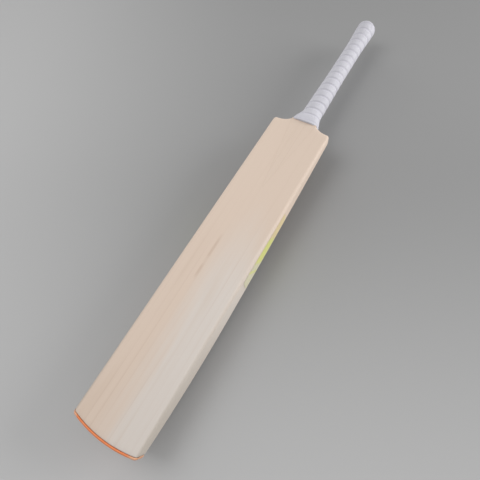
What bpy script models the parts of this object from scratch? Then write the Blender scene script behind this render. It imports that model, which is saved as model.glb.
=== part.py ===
"""Tennis ball cricket bat: a willow blade with a spliced cane handle, a rubber grip and a toe guard.

Metres, +Z up. The bat lies on the flat crest of its spine, with the striking face up.
X runs across the blade, and Y from the toe to the end of the handle. The origin is the
middle of the bat's box, on the surface it lies on.

A station is a distance along the bat from the middle of the wooden toe.
A depth is a distance below the striking face.
"""
import math

import bmesh
import bpy
from mathutils import Vector

MM = 0.001

# Clearances
GLUE_GAP = 0.3 * MM  # between pieces that are glued or pressed together
LABEL_GAP = 0.15 * MM  # between a label and the wood under it

# Blade, seen from the front
BLADE_LENGTH = 555.5 * MM  # from the toe to the corners of the shoulders
BLADE_WIDTH = 108 * MM  # at the toe
SHOULDER_NARROWING = 2 * MM  # how much narrower the blade is at its shoulders
SHOULDER_RISE = 10 * MM  # from the corners of the shoulders up to the neck
SHOULDER_CORNER = 4.5 * MM
SHOULDER_REACH = 90 * MM  # how far down the blade the grid bends with the shoulders
SHOULDER_FALL = 3  # power of the shoulders' curve
TOE_CURVE = 7 * MM  # the toe's corners lie this far above its middle
TOE_CORNER = 4 * MM
TOE_REACH = 120 * MM

# Blade, seen from the side
TOE_EDGE = 26 * MM
SWELL_EDGE = 47 * MM
SHOULDER_EDGE = 20 * MM
EDGE_TAPER = 1.5  # power of the edges' thinning towards the shoulder
SWELL_STATION = 180 * MM  # where the edges are thickest
TOE_SPINE = 31 * MM
SPINE_DEPTH = 60 * MM
SHOULDER_SPINE = 36 * MM
CREST_START = 130 * MM
CREST_END = 400 * MM
CREST_WIDTH = 14 * MM
RIDGE_FULLNESS = 0.7  # below 1 the flanks fall away sooner
SCOOP_DEPTH = 4 * MM  # hollow between the spine and each edge
SCOOP_REACH = 110 * MM
SCOOP_SHAPE = 1.5
FACE_ROUND = 5 * MM
BACK_ROUND = 7 * MM
TOE_ROUND = 1.5 * MM
SHOULDER_ROUND = 4 * MM
LEAST_ROUND = 0.4 * MM

# Handle
SPLICE_LENGTH = 150 * MM
SPLICE_TIP_WIDTH = 1.2 * MM
NECK_WIDTH = 45 * MM
NECK_THICKNESS = 33 * MM
NECK_FLARE = 34 * MM
NECK_SQUARENESS = 3.5  # power of the neck's oval, where 2 is an ellipse
NECK_BLEND = 3 * MM  # the wedge turns from square to round over this length, below the neck
HANDLE_LENGTH = 280.5 * MM  # from the neck to the end of the cane
HANDLE_WIDTH = 26.2 * MM
HANDLE_THICKNESS = 27.6 * MM
HANDLE_TAPER = 4 * MM  # how much wider the handle is where its flare ends
HANDLE_TAPER_LENGTH = 120 * MM
HANDLE_DEPTH = 16.8 * MM  # the handle's middle line, below the face
STRIP_WIDTH = 10.4 * MM  # the middle strip of each slab
SPRING_THICKNESS = 2 * MM
SPRING_PITCH = 8.2 * MM
BINDING_THICKNESS = 0.7 * MM
BINDING_SETBACK = 4 * MM  # from the end of the cane

# Grip
GRIP_WALL = 1.3 * MM
GRIP_BASE_GAP = 0.5 * MM  # between the neck and the rubber
GRIP_BEAD = 0.9 * MM  # rolled bead at the base
GRIP_BEAD_LENGTH = 6 * MM
GRIP_SWELL = 2.1 * MM  # the grip is thicker where it ends
GRIP_SWELL_LENGTH = 75 * MM
GRIP_LIP = 2.6 * MM  # the rubber reaches this far past the cane
GRIP_END_ROUND = 5.5 * MM
GRIP_HOLE = 17 * MM

# Toe guard and labels
GUARD_THICKNESS = 3 * MM
GUARD_ROUND = 1.4 * MM
GUARD_SEAM = 1 * MM  # chamfer where the rubber meets the wood
LABEL_THICKNESS = 0.3 * MM
LABEL_START = 263 * MM
LABEL_LENGTH = 130 * MM
LABEL_MARGIN = 2 * MM  # from the rounded corners of the edge
LABEL_CORNER = 4 * MM

# How finely the curves are cut
FLANK_STEPS = 7
CORNER_STEPS = 4
ROUND_STEPS = 3
HANDLE_SIDES = 24
TOE_STEPS = 2
SMOOTH_ANGLE = math.radians(32)
CUT_TOLERANCE = 0.0001 * MM
CUTTER_OVERRUN = 30 * MM  # how far the socket's cutter stands out of the wood

# Cross-sections, as fractions of the length that each one covers
LOWER_SECTIONS = (0.12, 0.25, 0.4, 0.55, 0.7, 0.85)
CREST_SECTIONS = (0, 0.2, 0.4, 0.6, 0.8, 1)
UPPER_SECTIONS = (0.15, 0.3, 0.43, 0.56, 0.68, 0.79, 0.9)
SPLICE_SECTIONS = (0, 0.2, 0.4, 0.6, 0.8, 1)
BLEND_SECTIONS = (0.33, 0.67, 1)
FLARE_SECTIONS = (0.25, 0.5, 0.75, 1)
TAPER_SECTIONS = (0.25, 0.5, 0.75, 1)
SWELL_SECTIONS = (0, 0.25, 0.5, 0.75)

# Worked out from the sizes above
SHOULDER_WIDTH = BLADE_WIDTH - SHOULDER_NARROWING
NECK_STATION = BLADE_LENGTH + SHOULDER_RISE
SPLICE_TIP = NECK_STATION - SPLICE_LENGTH
CANE_END = NECK_STATION + HANDLE_LENGTH
GRIP_START = NECK_STATION + GRIP_BASE_GAP
GRIP_END = CANE_END + GRIP_LIP
GUARD_END = -GLUE_GAP - GUARD_THICKNESS
MIDDLE_STATION = (GRIP_END + GUARD_END) / 2

WILLOW = (212, 196, 180)
CANE = (200, 172, 128)
RUBBER_WHITE = (214, 213, 220)
RUBBER_ORANGE = (214, 98, 40)
RUBBER_DARK = (46, 44, 44)
CORK = (168, 128, 88)
TWINE = (205, 194, 170)
LABEL_GREEN = (200, 210, 96)


def clamp(value, low=0.0, high=1.0):
    return max(low, min(high, value))


def ease(value):
    """Smooth step from 0 to 1."""
    t = clamp(value)
    return t * t * (3 - 2 * t)


def mix(a, b, t):
    return a + (b - a) * t


def point(x, station, depth):
    """The place in the world of a point of the bat."""
    return Vector((x, station - MIDDLE_STATION, SPINE_DEPTH - depth))


# The blade's form


def half_width(station):
    return mix(BLADE_WIDTH, SHOULDER_WIDTH, clamp(station / BLADE_LENGTH)) / 2


def edge_depth(station):
    """Thickness of the blade's edges: thin at the shoulder, swelling to the lower middle."""
    if station < SWELL_STATION:
        away = (SWELL_STATION - station) / SWELL_STATION
        return SWELL_EDGE - (SWELL_EDGE - TOE_EDGE) * away ** 2
    away = clamp((station - SWELL_STATION) / (BLADE_LENGTH - SWELL_STATION))
    return SWELL_EDGE - (SWELL_EDGE - SHOULDER_EDGE) * away ** EDGE_TAPER


def spine_depth(station):
    """Depth of the spine: level along its crest, lower at the toe and at the shoulder."""
    if station < CREST_START:
        return mix(TOE_SPINE, SPINE_DEPTH, ease(station / CREST_START))
    return mix(SPINE_DEPTH, SHOULDER_SPINE, ease((station - CREST_END) / (BLADE_LENGTH - CREST_END)))


def scoop_depth(station):
    """The hollow beside the spine fades out at the toe and at the shoulder."""
    return SCOOP_DEPTH * ease(station / SCOOP_REACH) * ease((BLADE_LENGTH - station) / SCOOP_REACH)


def back_depth(station, x):
    """Depth of the back: the crest, then a hollow flank down to the edge."""
    crest = CREST_WIDTH / 2
    flank = half_width(station) - BACK_ROUND - crest
    g = clamp((abs(x) - crest) / flank)
    ridge = 0.5 * (1 + math.cos(math.pi * g ** RIDGE_FULLNESS))
    edge = edge_depth(station)
    hollow = scoop_depth(station) * math.sin(math.pi * g) ** SCOOP_SHAPE if g < 1 else 0.0
    return edge + (spine_depth(station) - edge) * ridge - hollow


def corner_drop(from_edge, radius):
    """How far a rounded corner falls away, at a distance from the edge."""
    b = clamp(1 - from_edge / radius)
    return radius * (1 - math.sqrt(1 - b * b))


def toe_rise(x):
    """Height of the toe's curve above its middle, at x."""
    half = BLADE_WIDTH / 2
    return TOE_CURVE * (x / half) ** 2 + corner_drop(half - abs(x), TOE_CORNER)


def shoulder_lift(x):
    """Height of the shoulders above their corners, at x."""
    neck = NECK_WIDTH / 2
    half = SHOULDER_WIDTH / 2
    out = clamp((abs(x) - neck) / (half - neck))
    return SHOULDER_RISE * (1 - out) ** SHOULDER_FALL - corner_drop(half - abs(x), SHOULDER_CORNER)


def blade_station(station, x):
    """Bends a flat cross-section along with the curves of the toe and the shoulders."""
    toe = clamp(1 - station / TOE_REACH) ** 2
    top = clamp(1 - (BLADE_LENGTH - station) / SHOULDER_REACH) ** 2
    return station + toe_rise(x) * toe + shoulder_lift(x) * top


def blade_chains(station, inset=0.0):
    """Front and back of a cross-section, from left to right, as (x, depth). Inset shrinks it all round."""
    half = half_width(station) - inset
    crest = CREST_WIDTH / 2
    face_round = max(FACE_ROUND - inset, LEAST_ROUND)
    back_round = max(BACK_ROUND - inset, LEAST_ROUND)
    edge = edge_depth(station) - inset
    front = []
    back = []
    for i in range(FLANK_STEPS + 1):
        g = i / FLANK_STEPS
        front.append((mix(crest, half - face_round, g), inset))
        x = mix(crest, half - back_round, g)
        full_x = mix(crest, half_width(station) - BACK_ROUND, g)
        back.append((x, back_depth(station, full_x) - inset))
    for i in range(1, CORNER_STEPS + 1):
        turn = math.pi / 2 * i / CORNER_STEPS
        out = math.sin(turn)
        fall = 1 - math.cos(turn)
        front.append((half - face_round * (1 - out), inset + face_round * fall))
        back.append((half - back_round * (1 - out), edge - back_round * fall))
    return [[(-x, d) for x, d in reversed(chain)] + chain for chain in (front, back)]


def blade_ring(station, inset=0.0, shift=0.0):
    """One closed cross-section of the blade as points, and how many of them are the front."""
    front, back = blade_chains(station, inset)
    outline = front + back[::-1]
    return [point(x, blade_station(station, x) + shift, depth) for x, depth in outline]


# The handle's form


def splice_half_width(station):
    """Half the width of the wedge, which tapers from the neck to its tip."""
    t = (station - SPLICE_TIP) / SPLICE_LENGTH
    return mix(SPLICE_TIP_WIDTH, NECK_WIDTH, t) / 2


def handle_radii(station):
    """Half the handle's width and thickness: within the splice below the neck, and narrowing above it."""
    t = ease((station - NECK_STATION) / NECK_FLARE)
    taper = HANDLE_TAPER * (1 - ease((station - NECK_STATION - NECK_FLARE) / HANDLE_TAPER_LENGTH))
    wide = mix(NECK_WIDTH, HANDLE_WIDTH + taper, t) / 2
    return min(wide, splice_half_width(station)), mix(NECK_THICKNESS, HANDLE_THICKNESS, t) / 2


def narrowing_stations():
    """Stations of the cross-sections above the neck, through the flare and the taper."""
    flare_end = NECK_STATION + NECK_FLARE
    flare = [NECK_STATION + NECK_FLARE * t for t in FLARE_SECTIONS]
    return flare + [flare_end + HANDLE_TAPER_LENGTH * t for t in TAPER_SECTIONS]


def rounded(part, power):
    """A coordinate of a unit oval, from the sine or cosine of its turn. Power 2 is an ellipse."""
    return math.copysign(abs(part) ** (2 / power), part)


def oval_ring(station, offset):
    """A ring round the handle, offset outwards from the cane."""
    wide, thick = handle_radii(station)
    power = mix(NECK_SQUARENESS, 2, ease((station - NECK_STATION) / NECK_FLARE))
    ring = []
    for i in range(HANDLE_SIDES):
        turn = 2 * math.pi * i / HANDLE_SIDES
        x = (wide + offset) * rounded(math.sin(turn), power)
        depth = HANDLE_DEPTH - (thick + offset) * rounded(math.cos(turn), power)
        ring.append(point(x, station, depth))
    return ring


def handle_ring(station):
    """A cross-section of the cane: square in the splice, flush with the blade, and oval above the neck."""
    roundness = ease((station - NECK_STATION + NECK_BLEND) / NECK_BLEND)
    half = splice_half_width(min(station, NECK_STATION))
    blade_end = min(station, BLADE_LENGTH)
    oval = oval_ring(station, 0.0)
    ring = []
    for i in range(HANDLE_SIDES):
        turn = 2 * math.pi * i / HANDLE_SIDES
        reach = max(abs(math.sin(turn)), abs(math.cos(turn)))
        x = half * math.sin(turn) / reach
        depth = back_depth(blade_end, x) * (1 - math.cos(turn) / reach) / 2
        ring.append(point(x, station, depth).lerp(oval[i], roundness))
    return ring


# Building meshes


def skin(bm, rings):
    """Quads between rings of equal count."""
    loops = [[bm.verts.new(p) for p in ring] for ring in rings]
    for near, far in zip(loops, loops[1:]):
        for i in range(len(near)):
            j = (i + 1) % len(near)
            bm.faces.new((near[i], near[j], far[j], far[i]))
    return loops


def cap_between_chains(bm, loop):
    """Closes a ring made of a front chain and a back chain with strips across its thickness."""
    half = len(loop) // 2
    for i in range(half - 1):
        bm.faces.new((loop[i], loop[i + 1], loop[-2 - i], loop[-1 - i]))


def finish(bm, name, rgb, roughness):
    """Makes the object, with its normals out, its round faces smooth and its own material."""
    bmesh.ops.recalc_face_normals(bm, faces=bm.faces)
    mesh = bpy.data.meshes.new(name)
    bm.to_mesh(mesh)
    bm.free()
    mesh.shade_smooth()
    mesh.set_sharp_from_angle(angle=SMOOTH_ANGLE)
    obj = bpy.data.objects.new(name, mesh)
    bpy.context.collection.objects.link(obj)
    material = bpy.data.materials.new(name)
    material.use_nodes = True
    shader = material.node_tree.nodes["Principled BSDF"]
    shader.inputs["Base Color"].default_value = [linear(c / 255) for c in rgb] + [1.0]
    shader.inputs["Roughness"].default_value = roughness
    shader.inputs["Metallic"].default_value = 0.0
    mesh.materials.append(material)
    return obj


def linear(c):
    """Linear light from a colour as a screen shows it."""
    return c / 12.92 if c <= 0.04045 else ((c + 0.055) / 1.055) ** 2.4


def rounded_end(round_radius, steps):
    """Pairs of (distance back from the end, inset) along a rounded end, from its start to the end."""
    turns = [math.pi / 2 * i / steps for i in range(steps + 1)]
    return [(round_radius * (1 - math.sin(t)), round_radius * (1 - math.cos(t))) for t in turns]


# The pieces


def make_blade():
    """The willow cleft, with the V socket of the splice cut through it."""
    toe = [blade_ring(back, inset) for back, inset in reversed(rounded_end(TOE_ROUND, TOE_STEPS))]
    lower = [CREST_START * t for t in LOWER_SECTIONS]
    crest = [mix(CREST_START, CREST_END, t) for t in CREST_SECTIONS]
    upper = [mix(CREST_END, BLADE_LENGTH - SHOULDER_ROUND, t) for t in UPPER_SECTIONS]
    middle = [blade_ring(station) for station in lower + crest + upper]
    top = [blade_ring(BLADE_LENGTH - back, inset) for back, inset in rounded_end(SHOULDER_ROUND, ROUND_STEPS)]
    bm = bmesh.new()
    loops = skin(bm, toe + middle + top)
    cap_between_chains(bm, loops[0])
    cap_between_chains(bm, loops[-1])
    blade = finish(bm, "blade", WILLOW, 0.55)
    socket = blade.modifiers.new("splice_socket", "BOOLEAN")
    socket.operation = "DIFFERENCE"
    socket.solver = "EXACT"
    socket.object = make_socket_cutter()
    return blade


def make_socket_cutter():
    """The wedge's outline, grown by the glue gap, through the whole thickness and out past the neck."""
    bm = bmesh.new()
    rings = []
    for depth in (-CUTTER_OVERRUN, SPINE_DEPTH + CUTTER_OVERRUN):
        ring = []
        tip = SPLICE_TIP - GLUE_GAP
        mouth = NECK_STATION + CUTTER_OVERRUN
        for side, station in ((-1, tip), (1, tip), (1, mouth), (-1, mouth)):
            ring.append(point(side * (splice_half_width(station) + GLUE_GAP), station, depth))
        rings.append(ring)
    loops = skin(bm, rings)
    bm.faces.new(loops[0])
    bm.faces.new(loops[1])
    cutter = finish(bm, "splice_cutter", WILLOW, 0.5)
    cutter.hide_render = True
    cutter.display_type = "WIRE"
    return cutter


def cut_away(bm, place, outward):
    """Cuts off what lies on the outward side of a plane, and closes the cut."""
    geometry = bm.verts[:] + bm.edges[:] + bm.faces[:]
    cut = bmesh.ops.bisect_plane(bm, geom=geometry, dist=CUT_TOLERANCE, plane_co=place, plane_no=outward,
                                 clear_outer=True)
    edges = [e for e in cut["geom_cut"] if isinstance(e, bmesh.types.BMEdge)]
    if edges:
        bmesh.ops.edgenet_fill(bm, edges=edges)


def handle_slice(x_range, depth_range):
    """The part of the handle's form between two planes across it and two planes through its depth."""
    splice = [mix(SPLICE_TIP, NECK_STATION - NECK_BLEND, t) for t in SPLICE_SECTIONS]
    blend = [mix(NECK_STATION - NECK_BLEND, NECK_STATION, t) for t in BLEND_SECTIONS]
    stations = splice + blend + narrowing_stations() + [CANE_END]
    bm = bmesh.new()
    loops = skin(bm, [handle_ring(station) for station in stations])
    bm.faces.new(loops[0])
    bm.faces.new(loops[-1])
    bmesh.ops.recalc_face_normals(bm, faces=bm.faces)
    low_x, high_x = x_range
    low_depth, high_depth = depth_range
    if low_x is not None:
        cut_away(bm, (low_x, 0, 0), (-1, 0, 0))
    if high_x is not None:
        cut_away(bm, (high_x, 0, 0), (1, 0, 0))
    if low_depth is not None:
        cut_away(bm, (0, 0, SPINE_DEPTH - low_depth), (0, 0, 1))
    if high_depth is not None:
        cut_away(bm, (0, 0, SPINE_DEPTH - high_depth), (0, 0, -1))
    return bm


def make_handle():
    """Four slabs of three cane strips, with a spring between each two slabs."""
    spring_middles = [HANDLE_DEPTH + SPRING_PITCH * i for i in (-1, 0, 1)]
    half_spring = SPRING_THICKNESS / 2
    half_gap = GLUE_GAP / 2
    colours = (RUBBER_DARK, CORK, RUBBER_DARK)
    springs = []
    for name, middle, rgb in zip(("front", "middle", "back"), spring_middles, colours):
        depths = (middle - half_spring + half_gap, middle + half_spring - half_gap)
        springs.append(finish(handle_slice((None, None), depths), "spring_" + name, rgb, 0.8))
    starts = [None] + [middle + half_spring + half_gap for middle in spring_middles]
    ends = [middle - half_spring - half_gap for middle in spring_middles] + [None]
    inner = STRIP_WIDTH / 2
    columns = (("left", (None, -inner - half_gap)), ("centre", (-inner + half_gap, inner - half_gap)),
               ("right", (inner + half_gap, None)))
    strips = []
    for slab, depths in zip(("front", "mid_front", "mid_back", "back"), zip(starts, ends)):
        for column, xs in columns:
            strips.append(finish(handle_slice(xs, depths), f"cane_{slab}_{column}", CANE, 0.6))
    return springs + strips


def make_sleeve(name, profile, rgb, roughness):
    """A tube round the handle whose wall is a closed profile of (station, offset from the cane)."""
    bm = bmesh.new()
    rings = [oval_ring(station, offset) for station, offset in profile]
    loops = skin(bm, rings)
    first, last = loops[0], loops[-1]
    for i in range(HANDLE_SIDES):
        j = (i + 1) % HANDLE_SIDES
        bm.faces.new((last[i], last[j], first[j], first[i]))
    return finish(bm, name, rgb, roughness)


def make_binding():
    """The layer of twine wound round the cane, from the neck to near its end."""
    start = GRIP_START + GLUE_GAP
    end = CANE_END - BINDING_SETBACK
    stations = [start] + narrowing_stations() + [end]
    outer = [(station, GLUE_GAP + BINDING_THICKNESS) for station in stations]
    inner = [(station, GLUE_GAP) for station in reversed(stations)]
    return make_sleeve("handle_binding", outer + inner, TWINE, 0.9)


def grip_offset(station):
    """Offset of the grip's outside: a bead at its base and a swelling at its end."""
    wall = 2 * GLUE_GAP + BINDING_THICKNESS + GRIP_WALL
    bead = GRIP_BEAD * (1 - ease((station - GRIP_START) / GRIP_BEAD_LENGTH))
    swell = GRIP_SWELL * ease(1 - (GRIP_END - station) / GRIP_SWELL_LENGTH)
    return wall + bead + swell


def make_grip():
    """The rubber sleeve over the binding, rounded over the end of the cane and open in the middle."""
    bore = 2 * GLUE_GAP + BINDING_THICKNESS
    narrowing = narrowing_stations()
    swell_start = GRIP_END - GRIP_SWELL_LENGTH
    swell = [mix(swell_start, GRIP_END - GRIP_END_ROUND, t) for t in SWELL_SECTIONS]
    base = [GRIP_START + GRIP_BEAD, GRIP_START + GRIP_BEAD_LENGTH / 2]
    outer = [(GRIP_START, grip_offset(GRIP_START) - GRIP_BEAD)]
    outer += [(station, grip_offset(station)) for station in base + narrowing + swell]
    outer += [(GRIP_END - back, grip_offset(GRIP_END - back) - inset)
              for back, inset in rounded_end(GRIP_END_ROUND, CORNER_STEPS)]
    hole = (GRIP_HOLE - HANDLE_WIDTH) / 2
    cane_face = CANE_END + GLUE_GAP
    inner = [(GRIP_END, hole), (cane_face, hole), (cane_face, bore)]
    inner += [(station, bore) for station in reversed([GRIP_START] + narrowing)]
    return make_sleeve("grip", outer + inner, RUBBER_WHITE, 0.6)


def make_toe_guard():
    """The rubber strip under the toe, with the toe's own outline and rounded edges."""
    rings = [blade_ring(0.0, GUARD_SEAM, -GLUE_GAP), blade_ring(0.0, 0.0, -GLUE_GAP - GUARD_SEAM)]
    end = rounded_end(GUARD_ROUND, ROUND_STEPS)
    rings += [blade_ring(0.0, inset, GUARD_END + back) for back, inset in end]
    bm = bmesh.new()
    loops = skin(bm, rings)
    cap_between_chains(bm, loops[0])
    cap_between_chains(bm, loops[-1])
    return finish(bm, "toe_guard", RUBBER_ORANGE, 0.6)


def make_edge_label(name, side):
    """A thin vinyl label on the flat of one edge, between its rounded corners."""
    end = LABEL_START + LABEL_LENGTH
    bm = bmesh.new()
    rings = []
    for lift in (LABEL_GAP, LABEL_GAP + LABEL_THICKNESS):
        ring = []
        for station, at_back in ((LABEL_START, False), (LABEL_START, True), (end, True), (end, False)):
            depth = FACE_ROUND + LABEL_MARGIN
            if at_back:
                depth = edge_depth(station) - BACK_ROUND - LABEL_MARGIN
            ring.append(point(side * (half_width(station) + lift), station, depth))
        rings.append(ring)
    loops = skin(bm, rings)
    bm.faces.new(loops[0])
    bm.faces.new(loops[1])
    corners = [e for e in bm.edges if abs(e.verts[0].co.x - e.verts[1].co.x) > LABEL_THICKNESS / 2
               and (e.verts[0].co - e.verts[1].co).length < 2 * LABEL_THICKNESS]
    bmesh.ops.bevel(bm, geom=corners, offset=LABEL_CORNER, affect="EDGES", segments=ROUND_STEPS,
                     profile=0.5, material=-1)
    return finish(bm, name, LABEL_GREEN, 0.4)


def main():
    for obj in list(bpy.data.objects):
        bpy.data.objects.remove(obj, do_unlink=True)
    make_blade()
    make_handle()
    make_binding()
    make_grip()
    make_toe_guard()
    make_edge_label("edge_label_right", 1)
    make_edge_label("edge_label_left", -1)


main()
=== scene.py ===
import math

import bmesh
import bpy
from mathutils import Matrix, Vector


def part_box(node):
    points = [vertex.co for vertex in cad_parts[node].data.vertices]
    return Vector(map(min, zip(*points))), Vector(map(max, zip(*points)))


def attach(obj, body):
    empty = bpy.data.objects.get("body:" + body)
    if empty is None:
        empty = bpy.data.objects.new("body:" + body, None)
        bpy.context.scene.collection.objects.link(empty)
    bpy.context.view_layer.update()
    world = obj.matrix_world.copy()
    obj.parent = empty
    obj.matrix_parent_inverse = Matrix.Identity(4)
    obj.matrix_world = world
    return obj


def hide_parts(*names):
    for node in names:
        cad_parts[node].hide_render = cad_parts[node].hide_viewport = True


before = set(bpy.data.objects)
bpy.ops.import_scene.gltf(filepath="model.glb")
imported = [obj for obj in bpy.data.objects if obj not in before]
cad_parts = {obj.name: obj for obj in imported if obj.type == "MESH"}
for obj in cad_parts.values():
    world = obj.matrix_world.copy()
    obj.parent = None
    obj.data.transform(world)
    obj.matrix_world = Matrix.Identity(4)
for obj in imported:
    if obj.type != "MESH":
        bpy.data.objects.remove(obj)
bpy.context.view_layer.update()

# The looks of a tennis ball cricket bat that lies on the crest of its spine, striking face up.
# X runs across the blade and Y from the toe to the end of the handle.
# A station is a distance along the bat from the middle of the wooden toe.
# A depth is a distance below the striking face.

MM = 0.001

# Where the bat lies
TOE_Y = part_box("blade")[0].y
FACE_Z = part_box("blade")[1].z
HALF_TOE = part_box("blade")[1].x
SPINE_DEPTH = FACE_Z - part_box("blade")[0].z

# Blade, seen from the front
BLADE_LENGTH = 555.5 * MM
SHOULDER_NARROWING = 2 * MM
SHOULDER_RISE = 10 * MM
SHOULDER_CORNER = 4.5 * MM
SHOULDER_REACH = 90 * MM
SHOULDER_FALL = 3
TOE_CURVE = 7 * MM
TOE_CORNER = 4 * MM
TOE_REACH = 120 * MM

# Blade, seen from the side
TOE_EDGE = 26 * MM
SWELL_EDGE = 47 * MM
SHOULDER_EDGE = 20 * MM
EDGE_TAPER = 1.5
SWELL_STATION = 180 * MM
TOE_SPINE = 31 * MM
SHOULDER_SPINE = 36 * MM
CREST_START = 130 * MM
CREST_END = 400 * MM
CREST_WIDTH = 14 * MM
RIDGE_FULLNESS = 0.7
SCOOP_DEPTH = 4 * MM
SCOOP_REACH = 110 * MM
SCOOP_SHAPE = 1.5
FACE_ROUND = 5 * MM
BACK_ROUND = 7 * MM
TOE_ROUND = 1.5 * MM
SHOULDER_ROUND = 4 * MM
LEAST_ROUND = 0.4 * MM

# Splice and handle
SPLICE_LENGTH = 150 * MM
SPLICE_TIP_WIDTH = 1.2 * MM
GLUE_GAP = 0.3 * MM  # around the splice, and between the toe and its guard
GLUE_SINK = 0.05 * MM  # the glue lies this far below the wood on the face
GLUE_HOLLOW = 0.25 * MM  # and this far on the carved back
CARVE_END = 560 * MM  # the strips' backs are carved from the splice's tip to here
CARVE_REACH = 1.5 * MM  # the solids' coarse backs lie within this of the true one
CUTTER_OVER = 30 * MM  # the splice's cutter stands this far out of the wood
NECK_WIDTH = 45 * MM
NECK_THICKNESS = 33 * MM
NECK_FLARE = 34 * MM
NECK_SQUARENESS = 3.5
HANDLE_WIDTH = 26.2 * MM
HANDLE_THICKNESS = 27.6 * MM
HANDLE_TAPER = 4 * MM
HANDLE_TAPER_LENGTH = 120 * MM
HANDLE_DEPTH = 16.8 * MM

# Grip
GRIP_BORE = 1.3 * MM  # offset of the sleeve's inside from the cane
GRIP_WALL = 1.3 * MM
GRIP_BEAD = 0.9 * MM
GRIP_BEAD_LENGTH = 6 * MM
GRIP_BASE_ROUND = 2 * MM
GRIP_TUCK = 2 * MM  # the base laps this far over the rounded end of the wood
GRIP_SEAT = 12 * MM  # length over which the base bends down onto the shoulders
GRIP_BASE_BORE = 0.05 * MM  # offset of the inside at the base
GRIP_INSIDE_ROWS = (1, 0.75, 0.5, 0.25, 0.1, 0)  # shares of the flare, down to the base
GRIP_SWELL = 2.1 * MM
GRIP_SWELL_LENGTH = 75 * MM
GRIP_LIP = 2.3 * MM  # from the end of the cane to the end of the rubber
GRIP_END_ROUND = 5.5 * MM
GRIP_HOLE = 17 * MM
BAND_PITCH = 16 * MM  # the raised band winds up the grip once in this length
BAND_SINK = 0.9 * MM  # the groove beside the band is this deep
BAND_GROOVE = 0.4  # share of the pitch that the groove takes
BAND_END = 9 * MM  # the groove runs out this far before the end of the grip
BAND_FADE = 6 * MM
RIB_PITCH = 2.3 * MM  # fine ribs along the band

# Toe guard
GUARD_SEAM = 1 * MM  # the guard's edge slopes away by this much at the seam
GUARD_ROUND = 1.4 * MM

# How finely the curves are cut
FLANK_STEPS = 18
CORNER_STEPS = 7
ROUND_STEPS = 5
BLADE_ROW = 5 * MM
CARVE_COLUMN = 1.5 * MM
GRIP_SIDES = 96
GRIP_ROW = 1 * MM
GLUE_ROWS = 30
GLUE_COLUMNS = 12
LEAST_GLUE = 0.02 * MM  # left between the glue's sides and the wood
MERGE = 0.002 * MM
SMOOTH_ANGLE = math.radians(35)
FLAT_ANGLE = math.radians(0.1)  # the solids' triangles that meet flatter than this are one face

# Worked out from the sizes above
NECK_STATION = BLADE_LENGTH + SHOULDER_RISE
SPLICE_TIP = NECK_STATION - SPLICE_LENGTH
GRIP_START = NECK_STATION + 0.1 * MM
GRIP_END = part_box("grip")[1].y - TOE_Y
GUARD_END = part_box("toe_guard")[0].y - TOE_Y


def clamp(value, low=0.0, high=1.0):
    return max(low, min(high, value))


def ease(value):
    """Smooth step from 0 to 1."""
    t = clamp(value)
    return t * t * (3 - 2 * t)


def mix(a, b, t):
    return a + (b - a) * t


def point(x, station, depth):
    return Vector((x, TOE_Y + station, FACE_Z - depth))


# The blade's form


def half_width(station):
    return HALF_TOE - SHOULDER_NARROWING / 2 * clamp(station / BLADE_LENGTH)


def edge_depth(station):
    """Thickness of the blade's edges."""
    if station < SWELL_STATION:
        away = (SWELL_STATION - station) / SWELL_STATION
        return SWELL_EDGE - (SWELL_EDGE - TOE_EDGE) * away ** 2
    away = clamp((station - SWELL_STATION) / (BLADE_LENGTH - SWELL_STATION))
    return SWELL_EDGE - (SWELL_EDGE - SHOULDER_EDGE) * away ** EDGE_TAPER


def spine_depth(station):
    """Depth of the spine: level along its crest, lower at the toe and at the shoulder."""
    if station < CREST_START:
        return mix(TOE_SPINE, SPINE_DEPTH, ease(station / CREST_START))
    past = (station - CREST_END) / (BLADE_LENGTH - CREST_END)
    return mix(SPINE_DEPTH, SHOULDER_SPINE, ease(past))


def scoop_depth(station):
    return SCOOP_DEPTH * ease(station / SCOOP_REACH) * ease((BLADE_LENGTH - station) / SCOOP_REACH)


def back_depth(station, x):
    """Depth of the back: the crest, then a hollow flank down to the edge."""
    crest = CREST_WIDTH / 2
    flank = half_width(station) - BACK_ROUND - crest
    g = clamp((abs(x) - crest) / flank)
    ridge = 0.5 * (1 + math.cos(math.pi * g ** RIDGE_FULLNESS))
    edge = edge_depth(station)
    hollow = scoop_depth(station) * math.sin(math.pi * g) ** SCOOP_SHAPE if 0 < g < 1 else 0.0
    return edge + (spine_depth(station) - edge) * ridge - hollow


def corner_drop(from_edge, radius):
    """How far a rounded corner falls away, at a distance from the edge."""
    b = clamp(1 - from_edge / radius)
    return radius * (1 - math.sqrt(1 - b * b))


def toe_rise(x):
    return TOE_CURVE * (x / HALF_TOE) ** 2 + corner_drop(HALF_TOE - abs(x), TOE_CORNER)


def shoulder_lift(x):
    neck = NECK_WIDTH / 2
    half = HALF_TOE - SHOULDER_NARROWING / 2
    out = clamp((abs(x) - neck) / (half - neck))
    return SHOULDER_RISE * (1 - out) ** SHOULDER_FALL - corner_drop(half - abs(x), SHOULDER_CORNER)


def blade_station(station, x):
    """Bends a flat cross-section along with the curves of the toe and the shoulders."""
    toe = clamp(1 - station / TOE_REACH) ** 2
    top = clamp(1 - (BLADE_LENGTH - station) / SHOULDER_REACH) ** 2
    return station + toe_rise(x) * toe + shoulder_lift(x) * top


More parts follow.
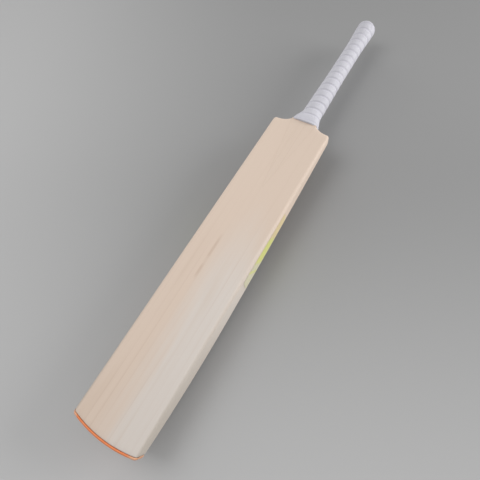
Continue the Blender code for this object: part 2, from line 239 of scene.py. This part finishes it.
def half_chains(station, inset):
    """The right half of a cross-section's front and back, from the middle out, as (x, depth)."""
    half = half_width(station) - inset
    face_round = max(FACE_ROUND - inset, LEAST_ROUND)
    back_round = max(BACK_ROUND - inset, LEAST_ROUND)
    edge = edge_depth(station) - inset
    front = [(0.0, inset)]
    back = [(0.0, back_depth(station, 0.0) - inset)]
    for i in range(FLANK_STEPS + 1):
        g = i / FLANK_STEPS
        front.append((mix(CREST_WIDTH / 2, half - face_round, g), inset))
        full_x = mix(CREST_WIDTH / 2, half_width(station) - BACK_ROUND, g)
        depth = back_depth(station, full_x) - inset
        back.append((mix(CREST_WIDTH / 2, half - back_round, g), depth))
    for i in range(1, CORNER_STEPS + 1):
        turn = math.pi / 2 * i / CORNER_STEPS
        fall = 1 - math.cos(turn)
        front.append((half - face_round * (1 - math.sin(turn)), inset + face_round * fall))
        back.append((half - back_round * (1 - math.sin(turn)), edge - back_round * fall))
    return front, back


def blade_ring(station, inset=0.0, shift=0.0):
    """A closed cross-section of the blade: its front from left to right, then its back."""
    front, back = half_chains(station, inset)
    outline = [(-x, d) for x, d in front[:0:-1]] + front + back[:0:-1] + [(-x, d) for x, d in back]
    return [point(x, blade_station(station, x) + shift, depth) for x, depth in outline]


def closed_up(ring):
    """A ring's front and back brought together into a line inside it, to close a skin's end."""
    line = [(p + q) / 2 for p, q in zip(ring, ring[::-1])]
    half = len(line) // 2
    line[0] = line[-1] = (line[0] + line[1]) / 2
    line[half - 1] = line[half] = (line[half - 1] + line[half - 2]) / 2
    return line


def rounded_end(radius, steps):
    """Pairs of (distance back from the end, inset) along a rounded end, up to the very end."""
    turns = [math.pi / 2 * i / steps for i in range(steps + 1)]
    return [(radius * (1 - math.sin(t)), radius * (1 - math.cos(t))) for t in turns]


# The handle's form


def splice_half_width(station):
    t = (station - SPLICE_TIP) / SPLICE_LENGTH
    return mix(SPLICE_TIP_WIDTH, NECK_WIDTH, t) / 2


def rounded(part, power):
    """A coordinate of a unit oval, from the sine or cosine of its turn. Power 2 is an ellipse."""
    return math.copysign(abs(part) ** (2 / power), part)


def handle_place(station, turn, offset):
    """A point on the handle's oval, offset outwards from the cane. Turn 0 is the front."""
    t = ease((station - NECK_STATION) / NECK_FLARE)
    power = mix(NECK_SQUARENESS, 2, t)
    taper = HANDLE_TAPER * (1 - ease((station - NECK_STATION - NECK_FLARE) / HANDLE_TAPER_LENGTH))
    wide = mix(NECK_WIDTH, HANDLE_WIDTH + taper, t) / 2 + offset
    thick = mix(NECK_THICKNESS, HANDLE_THICKNESS, t) / 2 + offset
    x = wide * rounded(math.sin(turn), power)
    return point(x, station, HANDLE_DEPTH - thick * rounded(math.cos(turn), power))


def grip_place(station, turn, offset):
    """A point of the grip, whose base bends down onto the shoulders and laps over them."""
    place = handle_place(station, turn, offset)
    depth = FACE_Z - place.z
    under = min(depth, back_depth(BLADE_LENGTH, place.x) - depth)
    tuck = min(corner_drop(under, SHOULDER_ROUND), GRIP_TUCK)
    drop = SHOULDER_RISE - shoulder_lift(place.x) + tuck
    place.y -= drop * (1 - ease((station - GRIP_START) / GRIP_SEAT))
    return place


def band_sink(station, turn):
    """How far the grip's outside lies below its full height: 0 on the band, more in the groove."""
    phase = (station / BAND_PITCH - turn / (2 * math.pi)) % 1
    groove = clamp(1 - abs(phase - 0.5) / (BAND_GROOVE / 2))
    starts = ease((station - GRIP_START - GRIP_BEAD_LENGTH) / BAND_PITCH)
    ends = ease((GRIP_END - BAND_END - station) / BAND_FADE)
    return BAND_SINK * ease(groove) * (starts * ends)


def grip_offset(station):
    bead = GRIP_BEAD * (1 - ease((station - GRIP_START) / GRIP_BEAD_LENGTH))
    swell = GRIP_SWELL * ease(1 - (GRIP_END - station) / GRIP_SWELL_LENGTH)
    return GRIP_BORE + GRIP_WALL + bead + swell


# Making meshes


def show(bm, name, material):
    """Turns a mesh in the making into a shown object, smooth except at its sharp edges."""
    mesh = bpy.data.meshes.new(name)
    bm.to_mesh(mesh)
    bm.free()
    mesh.shade_smooth()
    mesh.set_sharp_from_angle(angle=SMOOTH_ANGLE)
    obj = bpy.data.objects.new(name, mesh)
    bpy.context.scene.collection.objects.link(obj)
    mesh.materials.append(material)
    return obj


def wrap(rings):
    """A grid wrapped through rings of equal count, with its seam and its closed ends merged."""
    around = len(rings[0])
    along = len(rings) - 1
    bm = bmesh.new()
    bmesh.ops.create_grid(bm, x_segments=around, y_segments=along, size=0.5)
    for vert in bm.verts:
        i = round((vert.co.x + 0.5) * around) % around
        j = round((vert.co.y + 0.5) * along)
        vert.co = rings[j][i]
    bmesh.ops.remove_doubles(bm, verts=bm.verts, dist=MERGE)
    bmesh.ops.recalc_face_normals(bm, faces=bm.faces)
    return bm


def make_blade(material):
    """The willow cleft with its rounded toe, edges and shoulders, cut for the splice."""
    toe_end = reversed(rounded_end(TOE_ROUND, ROUND_STEPS))
    top_end = rounded_end(SHOULDER_ROUND, ROUND_STEPS)
    toe = [blade_ring(back, inset) for back, inset in toe_end]
    top = [blade_ring(BLADE_LENGTH - back, inset) for back, inset in top_end]
    start = TOE_ROUND
    end = BLADE_LENGTH - SHOULDER_ROUND
    count = round((end - start) / BLADE_ROW)
    middle = [blade_ring(mix(start, end, i / count)) for i in range(1, count)]
    rings = [closed_up(toe[0])] + toe + middle + top + [closed_up(top[-1])]
    blade = show(wrap(rings), "willow_blade", material)
    cutter = make_splice_cutter(material)
    cut = blade.modifiers.new("splice", "BOOLEAN")
    cut.operation = "DIFFERENCE"
    cut.solver = "EXACT"
    cut.object = cutter
    split = blade.modifiers.new("split", "TRIANGULATE")
    split.min_vertices = 5
    apply_modifiers(blade)
    bpy.data.objects.remove(cutter)
    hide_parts("blade")
    return blade


def make_splice_cutter(material):
    """The wedge of the splice grown by the glue line, deeper and longer than the wood."""
    tip = SPLICE_TIP - GLUE_GAP
    mouth = NECK_STATION + CUTTER_OVER
    tip_half = splice_half_width(tip) + GLUE_GAP
    mouth_half = splice_half_width(mouth) + GLUE_GAP
    corners = ((-tip_half, tip), (tip_half, tip), (mouth_half, mouth), (-mouth_half, mouth))
    bm = bmesh.new()
    face = bm.faces.new([bm.verts.new(point(x, place, -CUTTER_OVER)) for x, place in corners])
    made = bmesh.ops.extrude_face_region(bm, geom=[face])
    moved = [part for part in made["geom"] if isinstance(part, bmesh.types.BMVert)]
    bmesh.ops.translate(bm, verts=moved, vec=(0, 0, -SPINE_DEPTH - 2 * CUTTER_OVER))
    bmesh.ops.recalc_face_normals(bm, faces=bm.faces)
    return show(bm, "splice_cutter", material)


def make_splice_glue(material):
    """Glue that fills the joints of the splice up to just below the wood, front and back."""
    rings = []
    for i in range(GLUE_ROWS + 1):
        station = mix(SPLICE_TIP - GLUE_GAP, BLADE_LENGTH - GLUE_GAP, i / GLUE_ROWS)
        place = blade_station(station, 0)
        half = splice_half_width(place) + GLUE_GAP - LEAST_GLUE
        xs = [half * (2 * j / GLUE_COLUMNS - 1) for j in range(GLUE_COLUMNS + 1)]
        front = [point(x, place, GLUE_SINK) for x in xs]
        back = [point(x, place, back_depth(station, x) - GLUE_HOLLOW) for x in xs]
        rings.append(front + back[::-1])
    rings = [closed_up(rings[0])] + rings + [closed_up(rings[-1])]
    glue = show(wrap(rings), "splice_glue", material)
    return glue


def apply_modifiers(obj):
    """Puts what the modifiers make into the mesh."""
    finished = obj.evaluated_get(bpy.context.evaluated_depsgraph_get())
    made = bpy.data.meshes.new_from_object(finished)
    obj.modifiers.clear()
    obj.data = made
    made.shade_smooth()
    made.set_sharp_from_angle(angle=SMOOTH_ANGLE)


def flat_station(place):
    """The station that blade_station lifts to a place, within the neck's width."""
    bend = BLADE_LENGTH - SHOULDER_REACH
    past = place - bend
    if past <= 0:
        return place
    root = math.sqrt(SHOULDER_REACH ** 2 + 4 * SHOULDER_RISE * past)
    return bend + SHOULDER_REACH * (root - SHOULDER_REACH) / (2 * SHOULDER_RISE)


def slice_mesh(bm, place, normal):
    """Cuts all faces along a plane, and keeps both sides."""
    everything = bm.verts[:] + bm.edges[:] + bm.faces[:]
    bmesh.ops.bisect_plane(bm, geom=everything, dist=MERGE, plane_co=place, plane_no=normal)


def make_carved_strip(node, material):
    """A strip of cane whose back, in the splice, is carved as smoothly as the willow beside it."""
    bm = bmesh.new()
    bm.from_mesh(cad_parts[node].data)
    bmesh.ops.remove_doubles(bm, verts=bm.verts, dist=MERGE)
    bmesh.ops.dissolve_limit(bm, angle_limit=FLAT_ANGLE, verts=bm.verts, edges=bm.edges)
    rows = round((CARVE_END - SPLICE_TIP) / BLADE_ROW)
    for i in range(rows + 1):
        slice_mesh(bm, point(0, mix(SPLICE_TIP, CARVE_END, i / rows), 0), (0, 1, 0))
    for i in range(1, round(NECK_WIDTH / CARVE_COLUMN)):
        slice_mesh(bm, point(i * CARVE_COLUMN - NECK_WIDTH / 2, 0, 0), (1, 0, 0))
    for vert in bm.verts:
        place = vert.co.y - TOE_Y
        back = FACE_Z - back_depth(flat_station(place), vert.co.x)
        if place <= CARVE_END + MERGE and abs(vert.co.z - back) < CARVE_REACH:
            vert.co.z = back
    strip = show(bm, "carved_" + node, material)
    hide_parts(node)
    return strip


def make_grip(material):
    """The rubber sleeve: a rolled base, a raised band wound along it, and an end over the cane."""
    turns = [2 * math.pi * i / GRIP_SIDES for i in range(GRIP_SIDES)]
    body_end = GRIP_END - GRIP_END_ROUND
    count = round((body_end - GRIP_START) / GRIP_ROW)
    rings = []
    for back, inset in reversed(rounded_end(GRIP_BASE_ROUND, ROUND_STEPS)):
        station = GRIP_START + back
        rings.append([grip_place(station, turn, grip_offset(station) - inset) for turn in turns])
    for i in range(1, count):
        station = mix(GRIP_START + GRIP_BASE_ROUND, body_end, i / count)
        full = grip_offset(station)
        offsets = [full - band_sink(station, turn) for turn in turns]
        rings.append([grip_place(station, turn, offset) for turn, offset in zip(turns, offsets)])
    for back, inset in rounded_end(GRIP_END_ROUND, 2 * ROUND_STEPS):
        offset = grip_offset(GRIP_END - back) - inset
        rings.append([handle_place(GRIP_END - back, turn, offset) for turn in turns])
    hole = (GRIP_HOLE - HANDLE_WIDTH) / 2
    cane_face = GRIP_END - GRIP_LIP
    for station, offset in ((GRIP_END, hole), (cane_face, hole), (cane_face, GRIP_BORE)):
        rings.append([handle_place(station, turn, offset) for turn in turns])
    for t in GRIP_INSIDE_ROWS:
        station = mix(GRIP_START, NECK_STATION + NECK_FLARE, t)
        offset = GRIP_BORE if t else GRIP_BASE_BORE
        rings.append([grip_place(station, turn, offset) for turn in turns])
    grip = show(wrap(rings + rings[:1]), "rubber_grip", material)
    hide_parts("grip")
    return grip


def make_toe_guard(material):
    """The rubber strip under the toe, with the toe's own outline and rounded edges."""
    rings = [blade_ring(0.0, GUARD_SEAM, -GLUE_GAP), blade_ring(0.0, 0.0, -GLUE_GAP - GUARD_SEAM)]
    end = rounded_end(GUARD_ROUND, ROUND_STEPS)
    rings += [blade_ring(0.0, inset, GUARD_END + back) for back, inset in end]
    rings = [closed_up(rings[0])] + rings + [closed_up(rings[-1])]
    guard = show(wrap(rings), "rubber_toe_guard", material)
    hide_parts("toe_guard")
    return guard


# Shader maths


class Wire:
    """A value that runs between two nodes of a finish, so that shader maths reads as plain sums."""

    def __init__(self, finish, socket):
        self.finish = finish
        self.socket = socket

    def math(self, operation, *values):
        return self.finish.node("ShaderNodeMath", {"operation": operation}, dict(enumerate(values)))

    def __add__(self, other):
        return self.math("ADD", self, other)

    def __sub__(self, other):
        return self.math("SUBTRACT", self, other)

    def __rsub__(self, other):
        return self.math("SUBTRACT", other, self)

    def __mul__(self, other):
        return self.math("MULTIPLY", self, other)

    def __truediv__(self, other):
        return self.math("DIVIDE", self, other)

    def __pow__(self, other):
        return self.math("POWER", self, other)

    __radd__ = __add__
    __rmul__ = __mul__

    def wrapped(self):
        """What is left after whole numbers are taken away."""
        return self.math("FRACT", self)

    def size(self):
        return self.math("ABSOLUTE", self)

    def held(self):
        """The value kept between 0 and 1."""
        return self.finish.node("ShaderNodeClamp", {}, {0: self})

    def between(self, low, high):
        """0 below low, 1 above high, and a smooth step from one to the other."""
        settings = {"interpolation_type": "SMOOTHSTEP"}
        values = {0: self, 1: low, 2: high, 3: 0.0, 4: 1.0}
        return self.finish.node("ShaderNodeMapRange", settings, values)


class Finish:
    """A material in the making, with the place on the piece as three lengths in metres."""

    def __init__(self, name, **sockets):
        self.material = bpy.data.materials.new(name)
        self.material.use_nodes = True
        self.tree = self.material.node_tree
        self.shader = self.tree.nodes["Principled BSDF"]
        self.place = self.node("ShaderNodeTexCoord", {}, {}, "Object")
        self.x, self.y, self.z = self.parts(self.place)
        self.set(**sockets)

    def node(self, kind, settings, values, output=0):
        """A new node: its settings first, then what its sockets hold or are linked to."""
        made = self.tree.nodes.new(kind)
        for name, value in settings.items():
            setattr(made, name, value)
        for key, value in values.items():
            self.feed(made.inputs[key], value)
        return Wire(self, made.outputs[output])

    def parts(self, vector):
        split = self.node("ShaderNodeSeparateXYZ", {}, {0: vector}).socket.node
        return [Wire(self, socket) for socket in split.outputs]

    def feed(self, socket, value):
        if isinstance(value, Wire):
            self.tree.links.new(value.socket, socket)
        else:
            socket.default_value = value

    def set(self, **sockets):
        """Feeds the shader's sockets, named as in Blender with _ for a space."""
        for name, value in sockets.items():
            self.feed(self.shader.inputs[name.replace("_", " ")], value)

    def blend(self, factor, a, b):
        """From colour a to colour b."""
        return self.node("ShaderNodeMix", {"data_type": "RGBA"}, {0: factor, 6: a, 7: b}, 2)

    def noise(self, stretch, detail=2.0, seed=0.0):
        """Soft noise with so many lumps to a metre along X, Y and Z."""
        values = {"Vector": self.place, "Location": (seed, seed, seed), "Scale": stretch}
        spread = self.node("ShaderNodeMapping", {}, values)
        values = {"Vector": spread, "Scale": 1.0, "Detail": detail}
        return self.node("ShaderNodeTexNoise", {}, values)

    def bump(self, height, distance):
        """Feeds the surface's relief, with height 1 standing up by distance."""
        values = {"Strength": 1.0, "Distance": distance, "Height": height}
        self.set(Normal=self.node("ShaderNodeBump", {}, values))


def colour(red, green, blue):
    """Linear light from a colour as a screen shows it, from 0 to 255."""
    parts = [c / 255 for c in (red, green, blue)]
    return [c / 12.92 if c <= 0.04045 else ((c + 0.055) / 1.055) ** 2.4 for c in parts] + [1.0]


# Finishes


PEACH_WILLOW = colour(216, 197, 181)
# Partly painted highlight: the paler, greyer tone of the face's lower right, also made lighter in
# place of the light on that side.
PALE_WILLOW = colour(216, 207, 199)
# Painted shade: the colour painted on the blade's edges and back in place of shade.
WILLOW_PAINTED_SHADE = colour(174, 165, 153)
WILLOW_LINE = colour(182, 154, 132)
WILLOW_FLECK = colour(200, 178, 158)
GLUE_LINE = colour(208, 188, 170)
CANE_PALE = colour(212, 186, 146)
CANE_DARK = colour(172, 138, 92)
RUBBER_WHITE = colour(203, 202, 209)
RUBBER_GREY_AND_SHADE = colour(177, 175, 185)
RUBBER_ORANGE = colour(230, 134, 82)
RUBBER_BURNT = colour(204, 100, 56)
RUBBER_WORN = colour(216, 178, 146)
LABEL_LIME = colour(225, 226, 136)
LABEL_STRAW = colour(223, 217, 186)
LABEL_GOLD = colour(232, 212, 164)
TWINE_PALE = colour(214, 203, 178)
TWINE_DARK_AND_SHADE = colour(176, 160, 128)
RUBBER_BLACK = colour(46, 44, 44)
RUBBER_DUST = colour(66, 63, 62)
CORK_LIGHT = colour(178, 138, 96)
CORK_DARK = colour(118, 82, 52)
PAPER_LIGHT = colour(213, 213, 213)
PAPER_PAINTED_SHADE = colour(151, 151, 151)

# Lengths in the wood and the twine
RING_PITCH = 11 * MM  # from one growth line to the next across the face
RING_SLANT = 0.16  # how far the lines lean sideways as they go down into the wood
RING_WANDER = 9 * MM
PALE_HALF = 22 * MM  # the wood turns pale from this far left of the middle to as far right
PALE_WANDER = 40 * MM
PALE_START = 270 * MM  # the pale wood of the toe's half fades out from here
PALE_END = 460 * MM  # to here
PALE_RAGGED = 120 * MM
STREAK_X = -13.5 * MM
STREAK_WANDER = 3 * MM
THREAD = 0.9 * MM


def willow():
    """Pale willow: growth lines along the bat, fine fibres, and a matt lacquer."""
    wood = Finish("willow", Roughness=0.6, Specular_IOR_Level=0.3)
    x = wood.x
    depth = FACE_Z - wood.z
    station = wood.y - TOE_Y
    wander = wood.noise((14, 2.2, 14), detail=1.0) - 0.5
    saw = ((x + depth * RING_SLANT + wander * RING_WANDER) / RING_PITCH).wrapped()
    line = saw ** 7 * (1 - saw.between(0.95, 1.0))
    uneven = wood.noise((60, 3, 60), seed=3.1).between(0.35, 0.68)
    fibre = wood.noise((1500, 26, 1500), detail=3.0, seed=1.7)
    patch = wood.noise((70, 5, 70), seed=5.2)
    lower = 1 - (station + patch * PALE_RAGGED).between(PALE_START, PALE_END)
    pale = (x + (patch - 0.5) * PALE_WANDER).between(-PALE_HALF, PALE_HALF) * lower
    streak = mineral_streak(x + wander * STREAK_WANDER, station)
    # The pale tone on the right of the lower face is partly a painted highlight.
    base = wood.blend(pale, PEACH_WILLOW, PALE_WILLOW)
    base = wood.blend(patch.between(0.45, 0.8) * lower * 0.3, base, WILLOW_FLECK)
    base = wood.blend(line * uneven * (0.12 + lower * 0.2), base, WILLOW_LINE)
    base = wood.blend((fibre - 0.5).held() * 0.4, base, WILLOW_FLECK)
    # Painted shade on the edges and the back, most at the toe, and faint on the upper rims.
    base = wood.blend(painted_edge_shade(x, station, depth) * 0.74, base, WILLOW_PAINTED_SHADE)
    base = wood.blend(streak * 0.34, base, WILLOW_LINE)
    wood.set(Base_Color=base, Roughness=0.56 + fibre * 0.16)
    wood.bump(fibre * 0.6 - line * 0.4, 0.05 * MM)
    return wood.material


def painted_edge_shade(x, station, depth):
    """Painted shade: greyer wood colour at the edges and on the back, most at the toe, and faint on
    the upper edges, put in place of shade and to damp their highlight.
    """
    rim = x.size().between(49 * MM, 53 * MM)
    face = (1 - depth.between(1.5 * MM, 6 * MM)) * (1 - rim)
    low = 1 - station.between(-50 * MM, 400 * MM)
    high = station.between(370 * MM, 450 * MM)
    return (1 - face) * low + rim * high * 0.22


def mineral_streak(x, station):
    """One darker streak along the face, left of its middle and faint for a short way."""
    beside = (x - STREAK_X).size().between(0.6 * MM, 3.2 * MM)
    starts = station.between(230 * MM, 245 * MM)
    ends = station.between(295 * MM, 320 * MM)
    full = (station - 265 * MM).size().between(3 * MM, 12 * MM)
    return (1 - beside) * starts * (1 - ends) * (0.35 + full * 0.65)


def glue():
    """Dried glue in the joints of the splice, a shade darker than the willow."""
    film = Finish("glue", Roughness=0.6)
    grain = film.noise((400, 60, 400))
    base = film.blend(grain * 0.3, GLUE_LINE, WILLOW_LINE)
    film.set(Base_Color=base, Roughness=0.5 + grain * 0.2)
    return film.material


def cane():
    """Split cane: straight fibres, and the willow's colour in the splice as on the blade."""
    stem = Finish("cane", Roughness=0.55)
    fibre = stem.noise((1700, 14, 1700), detail=2.0, seed=2.3)
    patch = stem.noise((90, 3, 90), seed=6.1)
    handle = (stem.y - TOE_Y).between(NECK_STATION - 4 * MM, NECK_STATION + 4 * MM)
    wood = stem.blend(fibre.between(0.4, 0.66) * 0.7, CANE_PALE, CANE_DARK)
    splice = stem.blend(fibre.between(0.45, 0.8) * 0.3 + patch * 0.1, PEACH_WILLOW, WILLOW_FLECK)
    stem.set(Base_Color=stem.blend(handle, splice, wood), Roughness=0.45 + fibre * 0.2)
    stem.bump(fibre, 0.06 * MM)
    return stem.material


def grip_rubber():
    """Soft white rubber with fine ribs along the raised band, greyer in the grooves and between the
    ribs as painted shade, and in soft clouds of its own tone.
    """
    skin = Finish("grip_rubber", Roughness=0.6, Specular_IOR_Level=0.3)
    above = skin.z - (FACE_Z - HANDLE_DEPTH)
    turn = skin.node("ShaderNodeMath", {"operation": "ARCTAN2"}, {0: skin.x, 1: above})
    wound = (skin.y - TOE_Y) / BAND_PITCH - turn / (2 * math.pi)
    from_groove = (wound.wrapped() - 0.5).size()
    groove = 1 - from_groove.between(BAND_GROOVE * 0.1, BAND_GROOVE * 0.55)
    from_rib = ((wound * (BAND_PITCH / RIB_PITCH)).wrapped() - 0.5).size() * 2
    rib = from_rib.between(0.15, 0.85)
    grain = skin.noise((900, 900, 900), seed=4.4)
    cloud = skin.noise((30, 30, 30), seed=9.3)
    # Painted shade in the grooves and between the ribs, plus greyer clouds of the rubber's own
    # tone.
    groove_shade_and_cloud = groove * 0.45 + (1 - rib) * 0.12 + cloud.between(0.45, 0.8) * 0.12
    base = skin.blend(groove_shade_and_cloud, RUBBER_WHITE, RUBBER_GREY_AND_SHADE)
    skin.set(Base_Color=base, Roughness=0.5 + grain * 0.2)
    skin.bump(rib * (1 - groove) + grain * 0.12, 0.32 * MM)
    return skin.material


def guard_rubber():
    """Orange rubber, moulded, with a fine grain, darker scuffs, and corners worn dusty and pale."""
    skin = Finish("guard_rubber", Roughness=0.5)
    grain = skin.noise((1100, 1100, 1100), seed=2.9)
    scuff = skin.noise((60, 240, 60), detail=4.0, seed=7.7)
    dust = skin.noise((170, 170, 170), detail=5.0, seed=5.5)
    worn = (skin.x.size() + (dust - 0.5) * (60 * MM)).between(36 * MM, 56 * MM)
    base = skin.blend(scuff.between(0.52, 0.8) * 0.5, RUBBER_ORANGE, RUBBER_BURNT)
    base = skin.blend(worn * 0.72, base, RUBBER_WORN)
    skin.set(Base_Color=base, Roughness=0.4 + grain * 0.25)
    skin.bump(grain, 0.05 * MM)
    return skin.material


def label_vinyl():
    """Vinyl with three fields: gold at the handle's end, lime, and straw, with slanted joins."""
    low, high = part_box("edge_label_right")
    film = Finish("label_vinyl", Roughness=0.3, Coat_Weight=0.3, Coat_Roughness=0.15)
    slant = (film.z - (low.z + high.z) / 2) * 0.6
    along = (film.y - low.y + slant) / (high.y - low.y)
    base = film.blend(along.between(0.28, 0.36), LABEL_STRAW, LABEL_LIME)
    base = film.blend(along.between(0.64, 0.72), base, LABEL_GOLD)
    band = 1 - (along - 0.2).size().between(0.015, 0.025)
    base = film.blend(band * 0.8, base, LABEL_LIME)
    wear = film.noise((300, 60, 300), detail=3.0, seed=1.2)
    base = film.blend(wear.between(0.6, 0.85) * 0.3, base, PALE_WILLOW)
    film.set(Base_Color=base, Roughness=0.24 + wear * 0.2)
    return film.material


def twine():
    """Flax twine wound side by side, darker towards the edges of each turn as painted shade where
    the turns meet, and with darker hairs.
    """
    cord = Finish("twine", Roughness=0.8)
    turn = ((cord.y / THREAD).wrapped() - 0.5).size() * 2
    hair = cord.noise((700, 2400, 700), detail=3.0)
    # Painted shade where the turns meet, and darker hairs of the twine's own tone.
    base = cord.blend(turn.between(0.3, 1.0) * 0.7 + hair * 0.2, TWINE_PALE, TWINE_DARK_AND_SHADE)
    cord.set(Base_Color=base, Roughness=0.7 + hair * 0.2)
    cord.bump(1 - turn ** 2, 0.3 * MM)
    return cord.material


def speckled(name, light, dark, stretch, roughness, relief):
    """Sheet rubber or cork, with specks of a second shade."""
    sheet = Finish(name, Roughness=roughness)
    speck = sheet.noise(stretch, detail=3.0, seed=3.3)
    base = sheet.blend(speck.between(0.42, 0.62), light, dark)
    sheet.set(Base_Color=base, Roughness=roughness - 0.1 + speck * 0.2)
    sheet.bump(speck, relief)
    return sheet.material


def dress(node, material):
    """A carried-over solid gets its finish."""
    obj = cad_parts[node]
    obj.data.materials.clear()
    obj.data.materials.append(material)


# Studio

FLOOR_REACH = 6.0  # from the middle of the floor to its edges, in metres
WORLD_STRENGTH = 0.455
LAMP_SPREAD = math.radians(100)
LAMPS = (  # name, place, width, power
    ("top", (-0.7, -0.25, 1.2), 1.0, 2.4),
    ("side", (1.45, 1.1, 0.30), 1.6, 15.3),
    ("left", (-1.3, 0.9, 0.45), 1.2, 2.4),
)
FILM_WIDTH = 36  # in mm, as Blender wants it, and the lens too
LENS = 27.2
CAMERA_PLACE = point(177.0 * MM, 147.9 * MM, -496.2 * MM)
CAMERA_RIGHT = Vector((0.8564, 0.5056, -0.1050))
CAMERA_FORWARD = Vector((-0.2936, 0.3095, -0.9044))


def make_floor():
    """Grey paper, a little darker towards the upper right of the view: painted shade in place of
    the light falling off there, which also evens out the lamps.
    """
    bm = bmesh.new()
    bmesh.ops.create_grid(bm, x_segments=1, y_segments=1, size=FLOOR_REACH)
    paper = Finish("floor", Roughness=0.9, Specular_IOR_Level=0.1)
    rightward = paper.x * 0.86 + paper.y * 0.51
    upward = paper.y * 0.89 - paper.x * 0.45
    # Painted shade: the paper darkens towards the upper right in place of falling light.
    shade = rightward.between(-1.3, 0.1) * upward.between(-0.8, 0.09)
    paper.set(Base_Color=paper.blend(shade, PAPER_LIGHT, PAPER_PAINTED_SHADE))
    show(bm, "floor", paper.material)


def make_lamp(name, place, width, power):
    """A round soft lamp that faces the bat."""
    lamp = bpy.data.lights.new(name, "AREA")
    lamp.shape = "DISK"
    lamp.size = width
    lamp.energy = power
    lamp.spread = LAMP_SPREAD
    obj = bpy.data.objects.new(name, lamp)
    obj.location = place
    obj.rotation_euler = (-Vector(place)).to_track_quat("-Z", "Y").to_euler()
    bpy.context.scene.collection.objects.link(obj)


def make_light():
    """White light from all round, and the lamps."""
    world = bpy.data.worlds.new("studio")
    world.use_nodes = True
    sky = world.node_tree.nodes["Background"]
    sky.inputs["Color"].default_value = colour(255, 255, 255)
    sky.inputs["Strength"].default_value = WORLD_STRENGTH
    bpy.context.scene.world = world
    for name, place, width, power in LAMPS:
        make_lamp(name, place, width, power)


def make_camera():
    """The photograph's viewpoint, found from the outline: right of the blade and high above."""
    data = bpy.data.cameras.new("camera")
    data.sensor_width = FILM_WIDTH
    data.lens = LENS
    camera = bpy.data.objects.new("camera", data)
    right = CAMERA_RIGHT.normalized()
    forward = CAMERA_FORWARD.normalized()
    up = right.cross(forward).normalized()
    turn = Matrix((right, up, -forward)).transposed().to_4x4()
    camera.matrix_world = Matrix.Translation(CAMERA_PLACE) @ turn
    bpy.context.scene.collection.objects.link(camera)
    bpy.context.scene.camera = camera


def make_pieces(cane_finish):
    """The modelled pieces, which all ride on the bat's one body."""
    pieces = [make_blade(willow()), make_splice_glue(glue())]
    pieces += [make_grip(grip_rubber()), make_toe_guard(guard_rubber())]
    strips = [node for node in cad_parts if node.startswith("cane_back_")]
    pieces += [make_carved_strip(node, cane_finish) for node in strips]
    for piece in pieces:
        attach(piece, "root")


def dress_solids(cane_finish):
    """Finishes for the other strips of cane, the springs, the binding and the labels."""
    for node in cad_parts:
        if node.startswith(("cane_front_", "cane_mid_")):
            dress(node, cane_finish)
    rubber = speckled("spring_rubber", RUBBER_BLACK, RUBBER_DUST, (900, 900, 900), 0.7, 0.05 * MM)
    dress("spring_front", rubber)
    dress("spring_back", rubber)
    cork_finish = speckled("cork", CORK_LIGHT, CORK_DARK, (800, 800, 800), 0.8, 0.1 * MM)
    dress("spring_middle", cork_finish)
    dress("handle_binding", twine())
    vinyl = label_vinyl()
    dress("edge_label_right", vinyl)
    dress("edge_label_left", vinyl)


def main():
    cane_finish = cane()
    make_pieces(cane_finish)
    dress_solids(cane_finish)
    make_floor()
    make_light()
    make_camera()
    bpy.context.scene.view_settings.view_transform = "Standard"


main()
